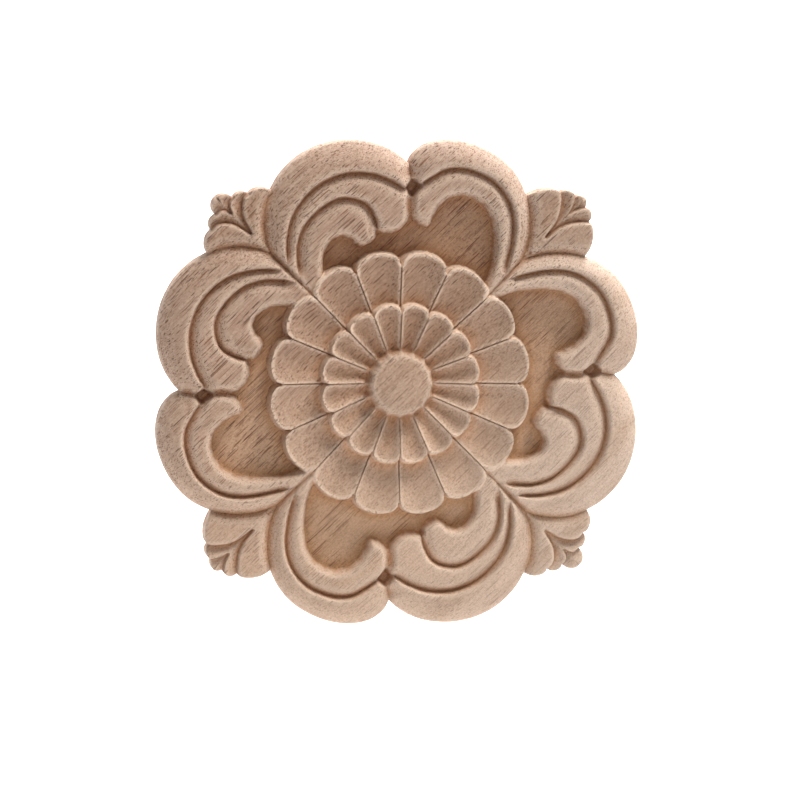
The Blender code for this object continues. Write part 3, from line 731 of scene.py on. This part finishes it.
def add_side(mesh):
    """The side wall in rows down to an eased lower edge, and the flat back."""
    loop = rim_loop(mesh)
    flat = np.array([(vert.co.x, vert.co.z) for vert in loop])
    run = np.roll(flat, -1, axis=0) - np.roll(flat, 1, axis=0)
    inward = np.column_stack([-run[:, 1], run[:, 0]]) / np.hypot(*run.T)[:, None]
    if ((inward * flat).sum(axis=1) > 0).mean() > 0.5:
        inward = -inward
    tops = np.array([-vert.co.y for vert in loop])
    above = loop
    for inset, share, rest in SIDE_ROWS:
        ring = [
            mesh.verts.new((x + inset * ix, -(share * top + rest), z + inset * iz))
            for (x, z), (ix, iz), top in zip(flat, inward, tops)
        ]
        for i in range(len(ring)):
            mesh.faces.new((above[i - 1], above[i], ring[i], ring[i - 1]))
        above = ring
    foot = [mesh.edges.get((above[i - 1], above[i])) for i in range(len(above))]
    bmesh.ops.triangle_fill(mesh, use_beauty=True, use_dissolve=False, edges=foot)
    bmesh.ops.triangulate(mesh, faces=[face for face in mesh.faces if len(face.verts) > 3])
    bmesh.ops.recalc_face_normals(mesh, faces=mesh.faces)


def hand_work(mesh):
    """Makes the four quarters differ slightly, as hand carving does, and leaves the back flat."""
    for vert in mesh.verts:
        x, y, z = vert.co
        lift = min(-y / GROUND, 1)
        sway = Vector([noise.noise(Vector((x, shift, z)) / SWAY_LENGTH) for shift in SWAY_SHIFTS])
        wave = noise.noise(Vector((x, 0, z)) / WAVE_LENGTH + Vector((7, 3, 1)))
        inner = min(1, max(0, (STILL_FROM - max(abs(x), abs(z))) / STILL_RUN))
        vert.co.x += SWAY_ASIDE * lift * sway.x * inner
        vert.co.z += SWAY_ASIDE * lift * sway.z * inner
        vert.co.y = max(y - lift * (SWAY_UP * sway.y + WAVE_UP * wave), -BOSS_TOP)


def mark_highlights_and_shade(mesh):
    """Marks how far each point lies above or below the surface around it, for a painted highlight on the
    crests and painted shade in the hollows.
    """
    mesh.verts.index_update()
    ends = np.array([[vert.index for vert in edge.verts] for edge in mesh.edges])
    height = np.array([-vert.co.y for vert in mesh.verts])
    count = np.bincount(ends.ravel(), minlength=len(height))
    level = height.copy()
    stages = {}
    for done in range(1, FAR_ROUNDS + 1):
        total = np.bincount(ends[:, 0], level[ends[:, 1]], len(height))
        total += np.bincount(ends[:, 1], level[ends[:, 0]], len(height))
        level = 0.5 * level + 0.5 * total / count
        stages[done] = level
    crest = (height - stages[NEAR_ROUNDS]) / CREST_HIGHLIGHT_FULL
    hollow_shade = (stages[FAR_ROUNDS] - height) / HOLLOW_SHADE_FULL
    for name, value in (("crest", crest), ("hollow_shade", hollow_shade)):
        layer = mesh.verts.layers.float.new(name)
        for vert, amount in zip(mesh.verts, np.clip(value, 0, 1)):
            vert[layer] = amount


def make_carving():
    """The carving, which takes the place of the solid's node."""
    mesh = carved_mesh()
    hand_work(mesh)
    mark_highlights_and_shade(mesh)
    bmesh.ops.scale(mesh, vec=(MM * INSET, MM, MM * INSET), verts=mesh.verts)
    data = bpy.data.meshes.new("carving")
    mesh.to_mesh(data)
    mesh.free()
    data.shade_smooth()
    data.set_sharp_from_angle(angle=SHARP_ANGLE)
    carving = bpy.data.objects.new("carving", data)
    bpy.context.scene.collection.objects.link(carving)
    data.materials.append(rubberwood())
    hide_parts("carved_applique")
    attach(carving, "root")


class Nodes:
    """Short ways to add shader nodes to a material."""

    def __init__(self, name):
        self.material = bpy.data.materials.new(name)
        self.material.use_nodes = True
        self.tree = self.material.node_tree
        self.shader = self.tree.nodes["Principled BSDF"]

    def add(self, kind, inputs=(), **settings):
        made = self.tree.nodes.new("ShaderNode" + kind)
        for name, value in settings.items():
            setattr(made, name, value)
        for name, value in dict(inputs).items():
            self.feed(made.inputs[name], value)
        return made

    def feed(self, socket, value):
        if isinstance(value, bpy.types.NodeSocket):
            self.tree.links.new(value, socket)
        else:
            socket.default_value = value

    def math(self, operation, a, b=0.0):
        return self.add("Math", {0: a, 1: b}, operation=operation).outputs[0]

    def ramp(self, value, low, high, to_low=0.0, to_high=1.0):
        inputs = {"Value": value, "From Min": low, "From Max": high, "To Min": to_low, "To Max": to_high}
        return self.add("MapRange", inputs, interpolation_type="SMOOTHSTEP").outputs["Result"]

    def mix(self, factor, a, b, blend="MIX"):
        made = self.add("Mix", data_type="RGBA", blend_type=blend)
        for socket, value in zip((made.inputs[0], made.inputs[6], made.inputs[7]), (factor, a, b)):
            self.feed(socket, value)
        return made.outputs[2]

    def noise(self, vector, scale, detail=2.0, roughness=0.5):
        inputs = {"Vector": vector, "Scale": scale, "Detail": detail, "Roughness": roughness}
        return self.add("TexNoise", inputs).outputs["Fac"]

    def times(self, a, b):
        return self.math("MULTIPLY", a, b)

    def tint(self, factor, base, color):
        return self.mix(factor, base, color, "MULTIPLY")

    def mark(self, name):
        return self.add("Attribute", attribute_name=name).outputs["Fac"]


class Wood(Nodes):
    """Bare rubberwood, from its broad colours to its finest marks."""

    def __init__(self):
        super().__init__("rubberwood")
        self.place = self.add("TexCoord").outputs["Object"]
        self.x, self.y, self.z = self.add("SeparateXYZ", {"Vector": self.place}).outputs
        self.grain = self.bent_grain()
        self.fibre = self.noise(self.along_grain(70.0, 1100.0), 1.0, 3.0, 0.65)
        self.patch = self.noise(self.place, 18.0, 2.0)
        self.ground = self.mark("ground")
        self.side = self.ramp(self.math("SUBTRACT", self.times(self.x, 0.6), self.z), -0.12, 0.12)
        self.upper = self.ramp(self.math("ADD", self.z, self.times(self.x, 0.5)), -0.06, 0.07)

    def bent_grain(self):
        """Coordinates with X along the grain, which bends slightly from place to place."""
        bend = self.add("TexNoise", {"Vector": self.place, "Scale": 16.0, "Detail": 1.0}).outputs["Color"]
        bend = self.add("VectorMath", {0: bend, 1: (0.5, 0.5, 0.5)}, operation="SUBTRACT").outputs[0]
        bend = self.add("VectorMath", {0: bend, "Scale": GRAIN_BEND}, operation="SCALE").outputs[0]
        bent = self.add("VectorMath", {0: self.place, 1: bend}, operation="ADD").outputs[0]
        return self.add("Mapping", {"Vector": bent, "Rotation": (0, GRAIN_ANGLE, GRAIN_LEAN)}).outputs[0]

    def along_grain(self, lengthwise, crosswise):
        """Coordinates scaled less along the grain than across it, which draw a noise out along the grain."""
        scale = (lengthwise, crosswise, crosswise)
        return self.add("Mapping", {"Vector": self.grain, "Scale": scale}).outputs[0]

    def vessels(self, apart, widest, runs, seed):
        """Cut vessels, thin tubes along the grain: long streaks on flats and short dashes on slopes."""
        parts = self.add("SeparateXYZ", {"Vector": self.grain}).outputs
        place = self.add("CombineXYZ", {"X": parts["Y"], "Y": parts["Z"]}).outputs[0]
        place = self.add("Mapping", {"Vector": place, "Location": (seed, seed, 0)}).outputs[0]
        cells = self.add("TexVoronoi", {"Vector": place, "Scale": 1000 / apart}, voronoi_dimensions="2D")
        chance = self.add("SeparateColor", {"Color": cells.outputs["Color"]}).outputs
        radius = self.ramp(chance["Red"], 0.0, 1.0, 0.3, 1.0)
        within = self.math("SUBTRACT", radius, self.times(cells.outputs["Distance"], apart / widest))
        broken = self.ramp(self.noise(self.along_grain(runs, 800), 1.0, 1.0), 0.40, 0.52)
        return self.times(self.ramp(within, 0.0, 0.3), broken), chance["Green"]

    def broad_colors(self):
        """Redder at the upper left and creamier at the right, with patches, bands, fibres and fine dust."""
        band = self.noise(self.along_grain(7.0, 110.0), 1.0, 3.0, 0.6)
        dust = self.noise(self.place, 1500.0, 2.0)
        base = self.mix(self.side, UPPER_LEFT, LOWER_RIGHT)
        base = self.tint(self.ramp(self.x, -0.04, 0.09), base, CREAM_TINT)
        base = self.mix(self.ramp(self.patch, 0.35, 0.7, 0.0, 0.3), base, PATCH)
        base = self.mix(self.ramp(band, 0.42, 0.70, 0.0, 0.5), base, BAND)
        base = self.mix(self.ramp(self.fibre, 0.34, 0.70, 0.0, 0.5), base, FIBRE)
        return self.mix(self.ramp(dust, 0.38, 0.66, 0.0, 0.35), base, DUST)

    def ornament_shade(self):
        """Painted shade: 1 on the front of the rosette and the leaves in the upper part, and 0 elsewhere."""
        flat = self.add("CombineXYZ", {"X": self.x, "Y": self.z}).outputs[0]
        off_centre = self.add("VectorMath", {0: flat}, operation="LENGTH").outputs["Value"]
        nearest = self.math("MINIMUM", self.math("ABSOLUTE", self.x), self.math("ABSOLUTE", self.z))
        on_rosette = self.ramp(off_centre, *ROSETTE_FADE, 1.0, 0.0)
        found = self.math("MAXIMUM", on_rosette, self.ramp(nearest, *LEAF_FADE))
        return self.times(found, self.times(self.upper, self.ramp(self.y, *BACK_FADE, 1.0, 0.0)))

    def carved_colors(self, base):
        """Tints the grounds, paints shade on the upper grounds, the upper ornament and the hollows, and
        paints highlights on the petal rims and the crests.
        """
        base = self.tint(self.ground, base, GROUND_TINT)
        # Painted shade on the upper grounds and on the rosette and leaves in the upper part
        base = self.tint(self.times(self.ground, self.upper), base, UPPER_GROUND_SHADE)
        base = self.tint(self.ornament_shade(), base, UPPER_ORNAMENT_SHADE)
        # Painted shade in the hollows, on the raised parts and on the grounds
        hollow_shade = self.mark("hollow_shade")
        raised = self.math("SUBTRACT", 1.0, self.ground)
        base = self.tint(self.times(hollow_shade, raised), base, HOLLOW_SHADE_TINT)
        base = self.tint(self.times(hollow_shade, self.ground), base, GROUND_HOLLOW_SHADE_TINT)
        # Painted highlights on the petal rims, stronger at the top, and on the crests
        highlight = self.math("ADD", self.times(self.upper, 0.5), 0.3)
        base = self.mix(self.times(self.mark("rim_highlight"), highlight), base, RIM_HIGHLIGHT)
        return self.mix(self.times(self.mark("crest"), 0.4), base, CREST_HIGHLIGHT)

    def long_streaks(self):
        """Long vessels, strongest on the grounds."""
        found, _ = self.vessels(*LONG_VESSELS)
        found = self.times(found, self.math("ADD", self.times(self.ground, 0.7), 0.2))
        return self.times(found, self.ramp(self.side, 0.1, 1.0, 1.0, 0.6))

    def dots(self):
        """Short dark dots, fewer at the lower right and between the patches."""
        found = self.ramp(self.noise(self.along_grain(900.0, 1300.0), 1.0, 1.0), 0.58, 0.67)
        fewer = self.ramp(self.side, 0.1, 1.0, 0.5, 0.12)
        return self.times(found, self.times(fewer, self.ramp(self.patch, 0.4, 0.6, 0.3, 1.0)))

    def short_vessels(self):
        """Large and small vessels, fewer at the lower right, and their colour."""
        large, chance = self.vessels(*LARGE_VESSELS)
        small, _ = self.vessels(*SMALL_VESSELS)
        color = self.mix(self.ramp(chance, 0.45, 0.65), BROWN_VESSEL, RED_VESSEL)
        found = self.math("MAXIMUM", large, self.times(small, 0.8))
        return self.times(found, self.ramp(self.side, 0.1, 1.0, 1.0, 0.4)), color

    def set_surface(self, base, dark):
        """Feeds the shader, with the vessels sunk and the fibres slightly raised."""
        inputs = self.shader.inputs
        self.feed(inputs["Base Color"], base)
        self.feed(inputs["Roughness"], self.ramp(self.fibre, 0.2, 0.8, 0.62, 0.82))
        inputs["Specular IOR Level"].default_value = 0.3
        sunk = self.math("SUBTRACT", self.times(self.fibre, 0.25), dark)
        bump = self.add("Bump", {"Height": sunk, "Strength": 0.6, "Distance": 0.00016})
        self.feed(inputs["Normal"], bump.outputs[0])


def rubberwood():
    wood = Wood()
    base = wood.carved_colors(wood.broad_colors())
    base = wood.mix(wood.long_streaks(), base, LONG_STREAK)
    base = wood.mix(wood.dots(), base, DOT)
    dark, color = wood.short_vessels()
    base = wood.mix(wood.times(dark, 0.82), base, color)
    # Painted shade in the creases
    base = wood.mix(wood.times(wood.mark("crease_shade"), 0.35), base, CREASE_SHADE)
    wood.set_surface(base, dark)
    return wood.material


def plain(name, color, glow=0.0):
    material = bpy.data.materials.new(name)
    material.use_nodes = True
    shader = material.node_tree.nodes["Principled BSDF"]
    shader.inputs["Base Color"].default_value = (*color, 1)
    shader.inputs["Roughness"].default_value = 0.9
    shader.inputs["Emission Color"].default_value = (1, 1, 1, 1)
    shader.inputs["Emission Strength"].default_value = glow
    return material


def add_sheet(name, place, turn, glow):
    half = SHEET_HALF
    corners = [(-half, -half, 0), (half, -half, 0), (half, half, 0), (-half, half, 0)]
    data = bpy.data.meshes.new(name)
    data.from_pydata(corners, [], [(0, 1, 2, 3)])
    data.materials.append(plain(name, (0.9, 0.9, 0.9), glow))
    sheet = bpy.data.objects.new(name, data)
    sheet.location = place
    sheet.rotation_euler = (turn, 0, 0)
    bpy.context.scene.collection.objects.link(sheet)


def make_studio():
    """A pale floor well below the object, a pale wall well behind it, and soft light mostly from above."""
    add_sheet("floor", (0, 0, -1.1), 0, 0.0)
    add_sheet("wall", (0, 2.6, 1.4), math.pi / 2, 1.0)
    world = bpy.data.worlds.new("studio")
    world.use_nodes = True
    background = world.node_tree.nodes["Background"]
    background.inputs["Color"].default_value = WORLD_COLOR
    background.inputs["Strength"].default_value = WORLD_STRENGTH
    bpy.context.scene.world = world
    for name, (place, size, power, color) in LIGHTS.items():
        add_light(name, place, size, power, color)


def add_light(name, place, size, power, color):
    data = bpy.data.lights.new(name, "AREA")
    data.shape = "DISK"
    data.size = size
    data.energy = power
    data.color = color
    light = bpy.data.objects.new(name, data)
    light.location = place
    light.rotation_euler = (-Vector(place)).to_track_quat("-Z", "Y").to_euler()
    bpy.context.scene.collection.objects.link(light)


def make_camera():
    data = bpy.data.cameras.new("camera")
    data.sensor_width = SENSOR
    data.lens = SENSOR * (CAMERA - AIM).length / VIEW_WIDTH
    camera = bpy.data.objects.new("camera", data)
    camera.location = CAMERA
    turn = (AIM - CAMERA).to_track_quat("-Z", "Y") @ Quaternion((0, 0, 1), ROLL)
    camera.rotation_euler = turn.to_euler()
    bpy.context.scene.collection.objects.link(camera)
    bpy.context.scene.camera = camera


bpy.context.scene.view_settings.view_transform = "Standard"
make_camera()
make_studio()
make_carving()
